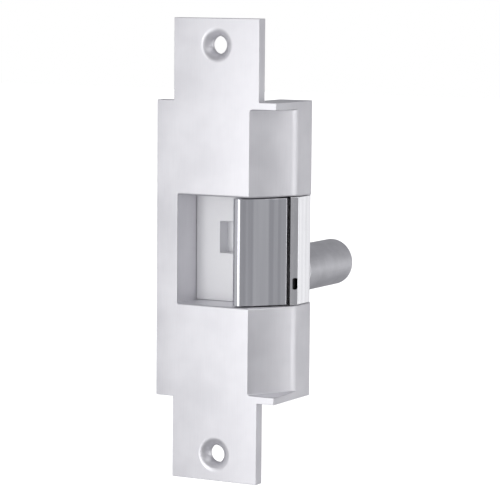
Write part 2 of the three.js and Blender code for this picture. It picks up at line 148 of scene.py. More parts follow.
# %% [markdown]
# ## Joining, cutting and softening
#
# A casting is joined from simple solids, then its pocket and holes are cut. A Boolean modifier
# does both, and its result is kept as the mesh. No cast or stamped edge is knife sharp, so the
# edges are then rounded. A bevel weight on each edge says how much, because a pocket's mouth is
# rounder than the rim of a plate, and one Bevel modifier rounds them together, which makes
# cleaner corners than several.

# %% Joining, cutting and softening
FLAT = math.radians(1)
CREASE = math.radians(28)


def keep_result(piece):
    """Makes what the modifiers show the piece's own mesh."""
    shown = piece.evaluated_get(bpy.context.evaluated_depsgraph_get())
    made = bpy.data.meshes.new_from_object(shown)
    piece.modifiers.clear()
    piece.data = made
    return piece


def combined(piece, tools, operation):
    """Applies the tools one after another, and removes each when it has done its work."""
    for tool in tools:
        step = piece.modifiers.new("step", "BOOLEAN")
        step.operation, step.object, step.solver = operation, tool, "EXACT"
        keep_result(piece)
        bpy.data.objects.remove(tool)
    return piece


def joined(piece, *tools):
    return combined(piece, tools, "UNION")


def cut(piece, *tools):
    return combined(piece, tools, "DIFFERENCE")


def softened(piece, width, rule=None, segments=3):
    """Rounds the creases. rule(middle of an edge, its direction) may give another width."""
    bm = bmesh.new()
    bm.from_mesh(piece.data)
    bmesh.ops.remove_doubles(bm, verts=bm.verts, dist=MERGE)
    bmesh.ops.dissolve_limit(bm, angle_limit=FLAT, verts=bm.verts, edges=bm.edges)
    layer = bm.edges.layers.float.new("bevel_weight_edge")
    widths = {}
    for edge in bm.edges:
        if len(edge.link_faces) == 2 and edge.calc_face_angle(0) > CREASE:
            a, b = (v.co for v in edge.verts)
            own = rule((a + b) / 2, (b - a).normalized()) if rule else None
            widths[edge] = width if own is None else own
    most = max(widths.values())
    for edge, value in widths.items():
        edge[layer] = value / most
    bm.to_mesh(piece.data)
    bm.free()
    round_off = piece.modifiers.new("round_off", "BEVEL")
    round_off.limit_method, round_off.width, round_off.segments = "WEIGHT", most, segments
    round_off.use_clamp_overlap = False
    round_off.miter_outer = "MITER_ARC"
    return keep_result(piece)


# %% [markdown]
# ## Finishes as expressions
#
# A finish is a node tree, but it reads best as arithmetic: roughness = 0.4 + 0.1 * brushing. A
# small class wraps a socket and gives it Python's operators, so such a line adds its Math nodes.
# A second class holds the material, and its one method makes any other node. Colours are mixed by
# Mix nodes, since a Math node would turn a colour grey. Patterns read Object coordinates, in
# millimetres.

# %% Signals and finishes
class Signal:
    """A value in a finish that Python's operators work on."""

    def __init__(self, finish, socket):
        self.finish, self.socket = finish, socket

    def math(self, operation, *others, swapped=False):
        values = [self, *others]
        if swapped:
            values.reverse()
        return self.finish.node("Math", {"operation": operation}, dict(enumerate(values)))

    def __add__(self, other):
        return self.math("ADD", other)

    __radd__ = __add__

    def __sub__(self, other):
        return self.math("SUBTRACT", other)

    def __rsub__(self, other):
        return self.math("SUBTRACT", other, swapped=True)

    def __mul__(self, other):
        return self.math("MULTIPLY", other)

    __rmul__ = __mul__

    def clamped(self, low, high):
        """0 below low, 1 above high, and even between them."""
        settings = {"interpolation_type": "SMOOTHSTEP"}
        values = {"Value": self, "From Min": low, "From Max": high}
        return self.finish.node("MapRange", settings, values)


class Finish:
    """A Principled material under a maker's name."""

    def __init__(self, name, **fixed):
        self.material = bpy.data.materials.new(name)
        self.material.use_nodes = True
        self.tree = self.material.node_tree
        self.shader = self.tree.nodes["Principled BSDF"]
        self.feed(**fixed)
        self.place = self.node("TexCoord", {}, {}, "Object")
        self.mm = self.stretched(1, 1, 1)

    def node(self, kind, settings, inputs, output=0):
        """Makes a ShaderNode of that kind, settings first, then its sockets' values or links."""
        made = self.tree.nodes.new("ShaderNode" + kind)
        for key, value in settings.items():
            setattr(made, key, value)
        for key, value in inputs.items():
            self.join(made.inputs[key], value)
        return Signal(self, made.outputs[output])

    def join(self, socket, value):
        if isinstance(value, Signal):
            self.tree.links.new(value.socket, socket)
        else:
            socket.default_value = value

    def feed(self, **values):
        for key, value in values.items():
            self.join(self.shader.inputs[key.replace("_", " ").title()], value)

    def stretched(self, x, y, z, centre=(0, 0, 0)):
        """Object coordinates in millimetres from centre, then scaled along each axis."""
        scale = (x / MM, y / MM, z / MM)
        shift = tuple(-c * s for c, s in zip(centre, (x, y, z)))
        return self.node("Mapping", {}, {"Vector": self.place, "Scale": scale, "Location": shift})

    def noise(self, where, scale=1.0, detail=2.0, rough=0.5):
        values = {"Vector": where, "Scale": scale, "Detail": detail, "Roughness": rough}
        return self.node("TexNoise", {}, values, "Fac")

    def colour(self, amount, dark, light):
        settings = {"data_type": "RGBA"}
        return self.node("Mix", settings, {0: amount, 6: (*dark, 1), 7: (*light, 1)}, 2)

    def edges(self, radius):
        """1 on an edge that is rounder than radius mm lets through, 0 on open faces."""
        soft = self.node("Bevel", {"samples": 4}, {"Radius": radius * MM})
        true = self.node("NewGeometry", {}, {}, "Normal")
        turn = self.node("VectorMath", {"operation": "DOT_PRODUCT"}, {0: soft, 1: true}, "Value")
        return (1 - turn).clamped(0.02, 0.22)

    def relief(self, height, depth):
        """Bumps the surface by height (0 to 1) times depth in millimetres."""
        values = {"Height": height, "Distance": depth * MM, "Strength": 1.0}
        self.feed(normal=self.node("Bump", {}, values))


# %% [markdown]
# ### Satin nickel on the plate
#
# The plate is a zinc casting that is ground flat, brushed and plated. Its metal is pale with a
# faint violet cast. Fine strokes run up the plate, each stroke a long thin cell of noise, and
# broad clouds of slightly different roughness come from the hand that held it to the belt. Its
# edges are worn brighter.

# %% Satin nickel
def plated(name, dark, light, rough, strokes, depth, wear=0.35, clouds=0.07):
    finish = Finish(name, metallic=1.0)
    stroke = finish.noise(finish.stretched(*strokes), 1.0, 3.0, 0.6)
    cloud = finish.noise(finish.mm, clouds, 3.0, 0.55).clamped(0.28, 0.72)
    speck = finish.noise(finish.mm, 2.6, 2.0, 0.5).clamped(0.68, 0.8)
    edge = finish.edges(wear)
    tone = 0.5 * cloud + 0.35 * stroke + 0.3 * edge - 0.12 * speck
    finish.feed(base_color=finish.colour(tone, dark, light))
    finish.feed(roughness=rough + 0.10 * (cloud - 0.5) + 0.12 * (stroke - 0.5) - 0.08 * edge)
    finish.relief(stroke - 0.4 * speck, depth)
    return finish.material


satin_nickel = plated("satin_nickel", (0.74, 0.735, 0.765), (0.93, 0.925, 0.95), 0.46,
                      (2.2, 2.2, 0.09), 0.004, clouds=0.05)
print("finish:", satin_nickel.name)

# %% [markdown]
# ### Polished steel on the keeper and the corner bar
#
# The latch slides over these two, so they are ground along their length and buffed. Long soft
# bands show where the grinding left the face a little uneven, over fine lines. The bands are in
# the relief, which moves with the light as real ones do, and they are also painted into the colour
# as light and dark reflection streaks, which stay put under any light. The walls of the corner
# bar's slot get painted shade: a mask made from the slot's place makes them near black, and duller.

# %% Polished steel
front_slope, front_foot = 1.692, -20.87
# Where the walls of the corner bar's slot lie, which get painted shade.
slot_shade_across = (20.9, 22.12)
slot_shade_along = (-12.95, -8.75)


def between(value, low, high):
    return value.math("GREATER_THAN", low) * value.math("LESS_THAN", high)


def painted_slot_shade(finish):
    """Painted shade mask: 1 on the walls of the corner bar's gauge slot, which lie behind its
    sloping front.
    """
    x, y, z = (finish.node("SeparateXYZ", {}, {"Vector": finish.mm}, axis) for axis in "XYZ")
    behind = (y - front_slope * x).math("GREATER_THAN", front_foot)
    return behind * between(x, *slot_shade_across) * between(z, *slot_shade_along)


def polished(name, dark, light, rough, band_depth, paint_slot_shade=False):
    finish = Finish(name, metallic=1.0)
    grinding_band_and_painted_reflection = finish.noise(finish.stretched(0.42, 0.42, 0.004), 1.0, 1.0, 0.4).clamped(0.3, 0.7)
    line = finish.noise(finish.stretched(5.0, 5.0, 0.05), 1.0, 2.0, 0.6)
    edge = finish.edges(0.3)
    rub = finish.noise(finish.stretched(0.3, 0.3, 0.12), 1.0, 4.0, 0.6).clamped(0.45, 0.75)
    # The grinding bands are painted into the colour as light and dark reflection streaks; in the
    # relief below they are real unevenness.
    shine = finish.colour(0.75 * grinding_band_and_painted_reflection + 0.25 * line + 0.3 * edge, dark, light)
    dull = rough + 0.07 * (line - 0.5) + 0.05 * rub
    # Painted shade: the slot's walls are mixed to near black in colour, and made duller.
    if paint_slot_shade:
        slot_shade = painted_slot_shade(finish)
        values = {0: slot_shade, 6: shine, 7: (0.06, 0.06, 0.065, 1)}
        shine = finish.node("Mix", {"data_type": "RGBA"}, values, 2)
        dull = dull + 0.4 * slot_shade
    finish.feed(base_color=shine, roughness=dull)
    finish.relief(grinding_band_and_painted_reflection + 0.02 * line, band_depth)
    return finish.material


keeper_steel = polished("keeper_steel", (0.57, 0.575, 0.61), (0.86, 0.865, 0.90), 0.2, 0.06)
guard_steel = polished("guard_steel", (0.80, 0.80, 0.82), (0.93, 0.93, 0.95), 0.14, 0.02,
                       paint_slot_shade=True)
print("finishes:", keeper_steel.name, guard_steel.name)

# %% [markdown]
# ### Cast zinc, zinc plate and drawn steel
#
# The case behind the plate is left as cast, with a fine orange-peel skin. It is only partly
# metallic, so that it stays pale in the pocket's shade. The screws, nut, washer and cover are
# zinc plated: clearer and bluer, with a faint yellow passivation that comes in patches. The
# solenoid's can is drawn steel under dull nickel, with lines along the draw.

# %% Case, fastener and can finishes
def cast(name, dark, light, rough):
    finish = Finish(name)
    skin = finish.noise(finish.mm, 1.6, 4.0, 0.6)
    flow = finish.noise(finish.stretched(0.08, 0.2, 0.05), 1.0, 3.0, 0.6)
    edge = finish.edges(0.35)
    finish.feed(base_color=finish.colour(0.5 * flow + 0.25 * skin + 0.35 * edge, dark, light))
    finish.feed(roughness=rough + 0.14 * (skin - 0.5) + 0.06 * (flow - 0.5) - 0.08 * edge)
    finish.feed(metallic=0.5 + 0.2 * flow + 0.2 * edge)
    finish.relief(skin, 0.02)
    return finish.material


def zinc(name, dark, light, patch_colour, rough):
    finish = Finish(name, metallic=1.0)
    grain = finish.noise(finish.mm, 3.2, 3.0, 0.6)
    patch = finish.noise(finish.mm, 0.22, 3.0, 0.6).clamped(0.42, 0.7)
    edge = finish.edges(0.2)
    base = finish.colour(0.5 * grain + 0.4 * edge, dark, light)
    values = {0: 0.45 * patch, 6: base, 7: (*patch_colour, 1)}
    finish.feed(base_color=finish.node("Mix", {"data_type": "RGBA"}, values, 2))
    finish.feed(roughness=rough + 0.12 * (grain - 0.5) + 0.08 * patch - 0.06 * edge)
    finish.relief(grain, 0.008)
    return finish.material


cast_zinc = cast("cast_zinc", (0.86, 0.86, 0.88), (0.97, 0.97, 0.98), 0.5)
bright_zinc = zinc("bright_zinc", (0.60, 0.62, 0.65), (0.84, 0.86, 0.89), (0.74, 0.72, 0.56), 0.3)
can_nickel = plated("can_nickel", (0.64, 0.64, 0.665), (0.88, 0.88, 0.91), 0.44,
                    (1.4, 0.05, 1.4), 0.005, 0.5, 0.12)
print("finishes:", cast_zinc.name, bright_zinc.name, can_nickel.name)

# %% [markdown]
# ### Turned steel, spring wire, copper, nylon and rubber
#
# A pin from a lathe has fine rings round its axis, and a spring's wire has a blued, drawn look.
# The winding is enamelled copper: a metal under a clear coat, wound in rings 0.25 mm apart. The
# bobbin is moulded nylon, which is milky, and the bushing is rubber with a fine grain and a
# chalky bloom.

# %% Turned, sprung and wound finishes
def ringed(name, dark, light, rough, along, pitch, depth, **fixed):
    """Rings every pitch mm along an axis, for turned pins and wound wire."""
    finish = Finish(name, **fixed)
    parts = finish.node("SeparateXYZ", {}, {"Vector": finish.mm}, along)
    ring = (parts * (TURN / pitch)).math("SINE") * 0.5 + 0.5
    stain = finish.noise(finish.mm, 0.5, 4.0, 0.6)
    finish.feed(base_color=finish.colour(0.35 * ring + 0.6 * stain, dark, light))
    finish.feed(roughness=rough + 0.12 * (stain - 0.5) + 0.05 * ring)
    finish.relief(ring + 0.4 * stain, depth)
    return finish.material


def moulded(name, dark, light, rough, grain_scale, depth):
    finish = Finish(name, metallic=0.0)
    grain = finish.noise(finish.mm, grain_scale, 3.0, 0.6)
    bloom = finish.noise(finish.mm, 0.35, 4.0, 0.6)
    edge = finish.edges(0.3)
    finish.feed(base_color=finish.colour(0.6 * bloom + 0.2 * grain + 0.3 * edge, dark, light))
    finish.feed(roughness=rough + 0.16 * (bloom - 0.5) + 0.06 * (grain - 0.5))
    finish.relief(grain, depth)
    return finish.material


pin_steel = ringed("pin_steel", (0.36, 0.36, 0.38), (0.6, 0.6, 0.62), 0.28, "Z", 0.3, 0.003,
                   metallic=1.0)
rod_steel = ringed("rod_steel", (0.36, 0.36, 0.38), (0.6, 0.6, 0.62), 0.26, "Y", 0.3, 0.003,
                   metallic=1.0)
spring_wire = zinc("spring_wire", (0.30, 0.31, 0.34), (0.52, 0.53, 0.57), (0.22, 0.24, 0.34), 0.28)
copper_wire = ringed("copper_wire", (0.50, 0.17, 0.06), (0.84, 0.38, 0.17), 0.3, "Y", 0.25, 0.05,
                     metallic=1.0, coat_weight=0.6)
nylon = moulded("milky_nylon", (0.62, 0.60, 0.53), (0.80, 0.79, 0.73), 0.45, 2.0, 0.01)
rubber = moulded("bushing_rubber", (0.012, 0.012, 0.013), (0.05, 0.05, 0.052), 0.62, 4.0, 0.02)
print("finishes:", len(bpy.data.materials))

# %% [markdown]
# ## Handing a piece over
#
# A finished piece is shrunk to metres with its place in its mesh, gets its finish, and rides on
# the CAD body it belongs to, so that it moves when the body does. It also says which CAD node it
# stands for. Weighted normals make flat faces shade flat and leave the turn to the rounded edges.

# %% Handing a piece over
made_pieces = []


def deliver(piece, node, body, material, crease=50):
    piece.name = piece.data.name = node + "_finished"
    piece.data.transform(Matrix.Scale(MM, 4))
    piece.data.materials.clear()
    piece.data.materials.append(material)
    piece.data.shade_smooth()
    piece.data.set_sharp_from_angle(angle=math.radians(crease))
    even = piece.modifiers.new("even_shading", "WEIGHTED_NORMAL")
    even.keep_sharp = True
    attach(piece, body)
    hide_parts(node)
    made_pieces.append(piece)
    check = bmesh.new()
    check.from_mesh(piece.data)
    open_edges = sum(len(e.link_faces) != 2 for e in check.edges)
    volume = check.calc_volume(signed=True) / MM ** 3
    check.free()
    sides = sum(len(p.vertices) - 2 for p in piece.data.polygons)
    print(f"{piece.name}: {sides} triangles, {open_edges} open edges, {volume:.1f} cubic mm")


# %% [markdown]
# ## The face plate
#
# The plate is one casting. Two narrow tabs take the mounting screws, and the wider middle has a
# deep lip on the right, with a ramp recessed between a top and a bottom flange: the latch slides
# up it. Behind the lip stands a frame round the pocket. The plate's front outline is carried
# back, the lip and frame are joined on, and the ramp and pocket are cut. The edges are softened
# before the holes are cut, so that the bevel meets straight edges only; each hole's tool brings
# its own rounded mouth.

# %% The casting
plate_half = plate_high.z
lip_side = plate_high.x
lip_depth = plate_high.y
plate_back = 3.97
tab_half = 15.875
body_half = 49.2
recess_half = 46.65
ramp_start = 12.4
ramp_end = 16.5
ramp_wall = 10.2
side_wall = 18.325
pocket_left = -14.3
pocket_half = 18.0
frame_left = -17.8
frame_half = 23.0
pivot = middle("keeper_pin")
ramp_sag = 0.5


def plate_blank():
    quarter = [(tab_half, plate_half), (tab_half, body_half), (lip_side, body_half)]
    left = [(-x, z) for x, z in quarter]
    low = [(x, -z) for x, z in reversed(quarter)]
    low_left = [(-x, z) for x, z in reversed(low)]
    outline = quarter + low + low_left + left[::-1]
    return prism(outline, 0, plate_back, "Y")


def lip():
    inner = ramp_end + 1
    section = [(ramp_start, 0), (lip_side, 0), (lip_side, lip_depth), (side_wall, lip_depth),
               (side_wall, inner), (ramp_wall, plate_back), (ramp_wall, 0)]
    return prism(section, -body_half, body_half)


def ramp_tool():
    """What the latch's way over the lip takes out: all that lies in front of the ramp."""
    start, end = Vector((ramp_start, 0)), Vector((lip_side, ramp_end))
    along = (end - start).normalized()
    out = Vector((along.y, -along.x))
    steps = 12
    line = []
    for i in range(steps + 1):
        t = i / steps
        line.append(start.lerp(end, t) + out * ramp_sag * 4 * t * (1 - t))
    line = [start - along * 3, *line, end + along * 3]
    corner = [(lip_side + 4, -4), (ramp_start - 2, -4)]
    return prism([tuple(p) for p in line] + [(lip_side + 4, ramp_end + 5)] + corner,
                 -recess_half, recess_half)


def plate_edge(mid, direction):
    """Wider rounding at the pocket's mouth and in the corners that the sand mould leaves."""
    on_mouth = abs(abs(mid.z) - pocket_half) < 0.01 and mid.y < ramp_end
    if on_mouth and abs(direction.z) < 0.5 and abs(direction.x) > 0.3:
        return 0.8
    if abs(mid.x - pocket_left) < 0.01 and mid.y < 0.01:
        return 0.3
    if abs(abs(mid.z) - recess_half) < 0.01:
        return 0.5
    return None


plate = plate_blank()
frame_block = block((frame_left, lip_side), (0, lip_depth), (-frame_half, frame_half))
flanges = [block((ramp_wall, lip_side), (0, lip_depth), sorted((s * recess_half, s * body_half)))
           for s in (-1, 1)]
joined(plate, lip(), frame_block, *flanges)
pocket = block((pocket_left, lip_side + 5), (-5, lip_depth + 5), (-pocket_half, pocket_half))
cut(plate, ramp_tool(), pocket)
softened(plate, 0.2, plate_edge)
print("casting faces:", len(plate.data.polygons))

# %% [markdown]
# The mounting holes are countersunk for flat-head screws. A hole's tool is a turned plug: the
# shank's radius, then the cone, and a wide round at the mouth, since the cone is cast and not
# drilled.

# %% Holes in the casting
mount_z = 67.45


def sink_tool(x, z):
    mouth, shank, roll, slope = 5.1, 2.95, 2.2, 40
    reach = roll * math.tan(math.radians(slope / 2))
    rolled = arc(mouth + reach, roll, roll, -90, -90 - slope, 10)
    depth = (mouth - shank) * math.tan(math.radians(slope))
    profile = [(0, -2), (mouth + reach, -2), *rolled,
               (shank, depth), (shank, plate_back + 2), (0, plate_back + 2)]
    return turned(profile, (x, z), sides=72)


def straight_hole(x, z, radius, y0, y1):
    return turned([(0, y0), (radius, y0), (radius, y1), (0, y1)], (x, z), sides=32)


holes = [sink_tool(0, side * mount_z) for side in (-1, 1)]
bore = 2.48
holes.append(turned([(0, -40), (bore, -40), (bore, 40), (0, 40)], (pivot.x, pivot.y), "Z"))
case_screws = [f"case_screw_{i}" for i in range(1, 5)]
for name in case_screws:
    spot = middle(name)
    holes.append(straight_hole(spot.x, spot.z, 1.6, 15, lip_depth + 2))
cut(plate, *holes)
deliver(plate, "face_plate", "strike_frame", satin_nickel)

# %% [markdown]
# ## The corner bar
#
# Where the latch leaves the pocket, the lip would be a thin edge, so a polished steel bar takes
# its place. It is one section from top to bottom, held from behind by two screws. A short slot
# near its lower end is where the fitter's gauge goes.

# %% The corner bar
guard_low, guard_high = span("lip_guard")
guard_nose = (20.55, 13.75)
guard_shoulder = 16.55
guard_foot = 16.6
guard_inside = [(guard_foot, 22.6), (18.4, 21.2), (19.6, 17.6), (20.2, 15.4)]


def guard_section():
    face, rear = guard_high.x, guard_high.y
    return [guard_nose, (face, guard_shoulder), (face, rear), (guard_foot, rear), *guard_inside]


def gauge_slot():
    x, low, high, radius, floor = 21.55, -12.3, -9.4, 0.5, 19
    outline = arc(x, high, radius, 0, 180) + arc(x, low, radius, 180, 360)
    return prism(outline, 12, floor, "Y")


def guard_edge(mid, direction):
    """The rear edge is filed rounder than the others, so that it doesn't cut a glove."""
    return 0.4 if mid.y > guard_high.y - 0.1 and mid.x > 20 else None


guard = prism(guard_section(), guard_low.z, guard_high.z)
softened(guard, 0.18, guard_edge)
guard_screws = ["guard_screw_1", "guard_screw_2"]
guard_tapped = 1.3
cut(guard, gauge_slot(), *[straight_hole(middle(n).x, middle(n).z, guard_tapped, 22, 28)
                           for n in guard_screws])
deliver(guard, "lip_guard", "strike_frame", guard_steel, crease=6)

# %% [markdown]
# ## The keeper
#
# The keeper is the jaw that holds the latch. It turns on an upright pin: its nose is a small
# round, its outer face is ground slightly crowned, its back is a knuckle round the pin, and a
# tail behind the knuckle is what the lock lever stops. Its section is drawn as arcs and carried
# up, the ends are cut back for the two springs, and the pin's bore goes right through.

# %% The keeper
keeper_low, keeper_high = span("keeper")
hub_radius = 4.2
nose_radius = 2.7
nose_y = 2.8
face_x = 5.57
outer_end = (19.9, 12.6)
outer_bulge = 0.45
jaw_rear = [(19.4, 13.8), (14.2, 14.4)]
jaw_neck = 7.8
tail_reach = 11.9
tail_root = 3.2
tail_heel = (14.2, 14.2)


def at_pivot(radius, degrees):
    turn = math.radians(degrees)
    return pivot.x + radius * math.cos(turn), pivot.y + radius * math.sin(turn)


def jaw_section():
    nose = arc(face_x + nose_radius, nose_y, nose_radius, 180, 290, 24)
    start, end = Vector(nose[-1]), Vector(outer_end)
    along = (end - start).normalized()
    out = Vector((along.y, -along.x))
    crown = [start.lerp(end, i / 24) + out * outer_bulge * 4 * (i / 24) * (1 - i / 24)
             for i in range(1, 25)]
    hub = arc(pivot.x, pivot.y, hub_radius, 70, 215, 24)
    return nose + [tuple(p) for p in crown] + jaw_rear + hub + [(face_x, jaw_neck)]


def tail():
    outline = [at_pivot(tail_root, 30), tail_heel] + arc(*pivot.xy, tail_reach, 70, 84, 6)
    return prism(outline + [at_pivot(tail_root, 110)], -12.2, -6.2)


def end_pocket(side):
    floor, mouth, radius = keeper_high.z - 4.5, keeper_high.z + 1, 5.0
    profile = [(0, side * floor), (radius, side * floor), (radius, side * mouth), (0, side * mouth)]
    return turned(profile, pivot.xy, "Z", 48)


jaw = prism(jaw_section(), keeper_low.z, keeper_high.z)
softened(jaw, 0.25)
jaw_tail = softened(tail(), 0.3)
joined(jaw, jaw_tail)
pin_bore = turned([(0, -20), (bore, -20), (bore, 20), (0, 20)], pivot.xy, "Z", 48)
cut(jaw, end_pocket(1), end_pocket(-1), pin_bore)
deliver(jaw, "keeper", "keeper", keeper_steel)

# %% [markdown]
# ## The pin, its clip and the springs
#
# The pin is turned, with a domed head above the frame and a groove below it for an E-clip. The
# clip is a flat stamping whose three lobes bite the groove. Each spring is a wire on a curve: a
# helix with a straight leg at either end. The springs stay with the frame, and don't wind up as
# the keeper turns.

# %% Pin and clip
pin_low, pin_high = span("keeper_pin")
pin_radius = 2.4
groove_radius = 1.9
clip_low, clip_high = span("keeper_pin_clip")


def pin_profile():
    head, top = 3.7, pin_high.z
    seat = frame_half + 0.1
    return [(0, pin_low.z), (pin_radius - 0.5, pin_low.z), (pin_radius, pin_low.z + 0.5),
            (pin_radius, clip_low.z - 0.1), (groove_radius, clip_low.z - 0.1),
            (groove_radius, clip_high.z + 0.1), (pin_radius, clip_high.z + 0.1),
            (pin_radius, seat), (head, seat), (head, top - 0.7),
            (head * 0.9, top - 0.25), (head * 0.6, top - 0.05), (0, top)]


deliver(turned(pin_profile(), pivot.xy, "Z", 64), "keeper_pin", "strike_frame",
        pin_steel)


def clip_outline():
    """An E: an outer arc, open towards the back, with three lobes that reach the groove."""
    outer, inner, lobe = 4.6, 3.3, 2.0
    rim = arc(0, 0, outer, 108, 432, 40)
    inside = []
    for start, end, radius in ((60, 28, lobe), (28, -62, inner), (-62, -118, lobe),
                               (-118, -208, inner), (-208, -240, lobe)):
        inside += arc(0, 0, radius, start, end, 8)
    return [(pivot.x + x, pivot.y + y) for x, y in rim + inside]


clip = softened(prism(clip_outline(), clip_low.z, clip_high.z), 0.1, segments=2)
deliver(clip, "keeper_pin_clip", "strike_frame", spring_wire)

# %% Springs
def coil(points, wire, name):
    """A wire along points, as a mesh."""
    curve = bpy.data.curves.new(name, "CURVE")
    curve.dimensions = "3D"
    curve.bevel_depth, curve.bevel_resolution, curve.use_fill_caps = wire, 3, True
    spline = curve.splines.new("POLY")
    spline.points.add(len(points) - 1)
    for point, place in zip(spline.points, points):
        point.co = (*place, 1)
    holder = bpy.data.objects.new(name, curve)
    bpy.context.scene.collection.objects.link(holder)
    shown = holder.evaluated_get(bpy.context.evaluated_depsgraph_get())
    bm = bmesh.new()
    bm.from_mesh(bpy.data.meshes.new_from_object(shown))
    bpy.data.objects.remove(holder)
    return as_piece(bm, name)


def torsion(node, radius, wire, turns, leg):
    """A helix that fills the node's height, with a straight leg drawn off at either end."""
    low, high = span(node)
    centre = (low + high) / 2
    steps = int(turns * 40)
    points = []
    for i in range(steps + 1):
        t = i / steps
        a = t * turns * TURN
        z = low.z + wire + (high.z - low.z - 2 * wire) * t
        points.append(Vector((centre.x + radius * math.cos(a), centre.y + radius * math.sin(a), z)))
    last = turns * TURN
    first_leg = points[0] + Vector((0, -leg, 0))
    last_leg = points[-1] + Vector((-math.sin(last), math.cos(last), 0)) * leg
    return coil([first_leg, *points, last_leg], wire, "coil")


for side in ("upper", "lower"):
    node = "keeper_spring_" + side
    spring = torsion(node, 3.7, 0.45, 3.25, 2.3)
    deliver(spring, node, "strike_frame", spring_wire)

# %% [markdown]
# ## The lock case
#
# The case is a second casting. Its front is the back wall of the pocket, with a small recess; its
# flange is screwed to the frame; its chamber at the back holds the lock lever. It is hollowed
# where the keeper's tail swings and where the lever's dog comes forward.

# %% The lock case
case_low, case_high = span("lock_case")
pocket_floor = case_low.y
flange_back = 27.4
case_half = 17.9
case_gap = 0.1
chamber = (-13.6, -4.8)
lever_hole = 1.58
lever = middle("lever_pin")


def chamfered(x, z, y0, y1, corner):
    """A block whose four long edges, seen from the front, are rounded."""
    (x0, x1), (z0, z1) = x, z
    outline = (arc(x1 - corner, z1 - corner, corner, 0, 90, 6)
               + arc(x0 + corner, z1 - corner, corner, 90, 180, 6)
               + arc(x0 + corner, z0 + corner, corner, 180, 270, 6)
               + arc(x1 - corner, z0 + corner, corner, 270, 360, 6))
    return prism(outline, y0, y1, "Y")


def tail_way():
    reach, front = tail_reach + 0.6, pocket_floor - 0.3
    outline = [(pivot.x, front)] + arc(*pivot.xy, reach, 75, 164.5, 24) + [(2.4, front)]
    return prism(outline, *chamber)


def case_edge(mid, direction):
    """A tight edge where the case meets the pocket's walls, and a rounder one on its recess."""
    if mid.y > lip_depth - 0.1:
        return None
    return 0.15 if mid.x > -6 and abs(mid.z) < 10 else 0.08


case = block((pocket_left + case_gap, 3.2), (pocket_floor, lip_depth), (-case_half, case_half))
flange = chamfered((case_low.x, 20.9), (case_low.z, case_high.z), lip_depth, flange_back, 1.2)
chamber_box = chamfered((case_low.x, 16.4), (-17.4, 3.0), flange_back - 0.5, case_high.y, 1.0)
joined(case, flange, chamber_box)
recess = block((-5.3, 1.6), (pocket_floor - 2, pocket_floor + 5.3), (-1.85, 8.75))
cut(case, recess)
softened(case, 0.25, case_edge)
cavity = block((-13.6, 12.6), (25.2, case_high.y + 2), chamber)
dog_way = block((-3, 12.6), (20.5, 25.6), chamber)
lever_bore = turned([(0, -30), (lever_hole, -30), (lever_hole, -1.4), (0, -1.4)], lever.xy, "Z", 32)
tools = [cavity, dog_way, lever_bore, tail_way()]
for name in case_screws:
    tools.append(straight_hole(middle(name).x, middle(name).z, 1.8, 24, 29))
for name in guard_screws:
    x, z = middle(name).x, middle(name).z
    sink = [(0, 24), (1.45, 24), (1.45, 26.3), (2.1, flange_back), (2.1, 29), (0, 29)]
    tools.append(turned(sink, (x, z), sides=32))
cover_screws = [f"cover_screw_{i}" for i in range(1, 5)]
for name in cover_screws:
    tools.append(straight_hole(middle(name).x, middle(name).z, 1.3, 28, 36))
cut(case, *tools)
deliver(case, "lock_case", "strike_frame", cast_zinc)

# %% [markdown]
# ## Case cover and lever
#
# The cover is a stamped sheet with round corners. The lever is stamped too: it turns on a pin at
# the left, the push rod presses its back, and its dog moves forward into the way of the keeper's
# tail.

# %% Cover, lever and lever pin
cover_low, cover_high = span("case_cover")
cover = chamfered((cover_low.x, cover_high.x), (cover_low.z, cover_high.z),
                  cover_low.y, cover_high.y, 1.0)
softened(cover, 0.25)
axis_x, axis_z = middle("solenoid_can").x, middle("solenoid_can").z
cover_tools = [straight_hole(axis_x, axis_z, 4.9, 30, 38)]
cover_tools += [straight_hole(middle(n).x, middle(n).z, 1.5, 30, 38) for n in cover_screws]
cut(cover, *cover_tools)
deliver(cover, "case_cover", "strike_frame", bright_zinc)

lever_low, lever_high = span("lock_lever")
boss_radius = 3.4


def lever_outline():
    x, y = lever.xy
    front, rear, dog = y - 1.8, y + 1.8, y - 3.9
    neck = x + boss_radius
    round_end = arc(x, y, boss_radius, 135, 225, 12)
    return round_end + [(neck, front - 0.45), (3.2, front), (4.8, dog), (9.1, dog),
                        (9.1, y - 0.7), (10.8, y - 0.1), (10.8, rear), (neck, rear + 0.45)]


bar = prism(lever_outline(), lever_low.z, lever_high.z)
boss = turned([(0, lever_low.z), (boss_radius, lever_low.z), (boss_radius, lever_high.z),
               (0, lever_high.z)], lever.xy, "Z", 48)
joined(bar, boss)
softened(bar, 0.2)
cut(bar, turned([(0, -20), (lever_hole, -20), (lever_hole, 0), (0, 0)], lever.xy, "Z", 32))
deliver(bar, "lock_lever", "lock_lever", bright_zinc)


def plain_pin(node, radius, chamfer):
    low, high = span(node)
    profile = [(0, low.z), (radius - chamfer, low.z), (radius, low.z + chamfer),
               (radius, high.z - chamfer), (radius - chamfer, high.z), (0, high.z)]
    return turned(profile, middle(node).xy, "Z", 40)


deliver(plain_pin("lever_pin", 1.5, 0.25), "lever_pin", "strike_frame", pin_steel)
deliver(torsion("lever_spring", 2.3, 0.35, 2.25, 1.9), "lever_spring", "strike_frame",
        spring_wire)

# %% [markdown]
# ## Screws
#
# Ten screws in three sizes hold the case together. A screw is turned with a crowned head and a
# thread that is cut as rings, then a hexagon socket is sunk in its head. One function makes them
# all from the box of their CAD node.

# %% Screws
def hexagon(x, z, across, y0, y1, turn=0):
    corner = across / math.sqrt(3)
    return prism(arc(x, z, corner, turn, turn + 300, 5), y0, y1, "Y")


def thread(radius, core, start, end, pitch):
    """Rings of a thread from start to end along the shank."""
    points, y = [], start
    while y + pitch < end:
        points += [(core, y + pitch * 0.1), (radius, y + pitch * 0.45), (radius, y + pitch * 0.6),
                   (core, y + pitch * 0.95)]
        y += pitch
    return points + [(core, end)]


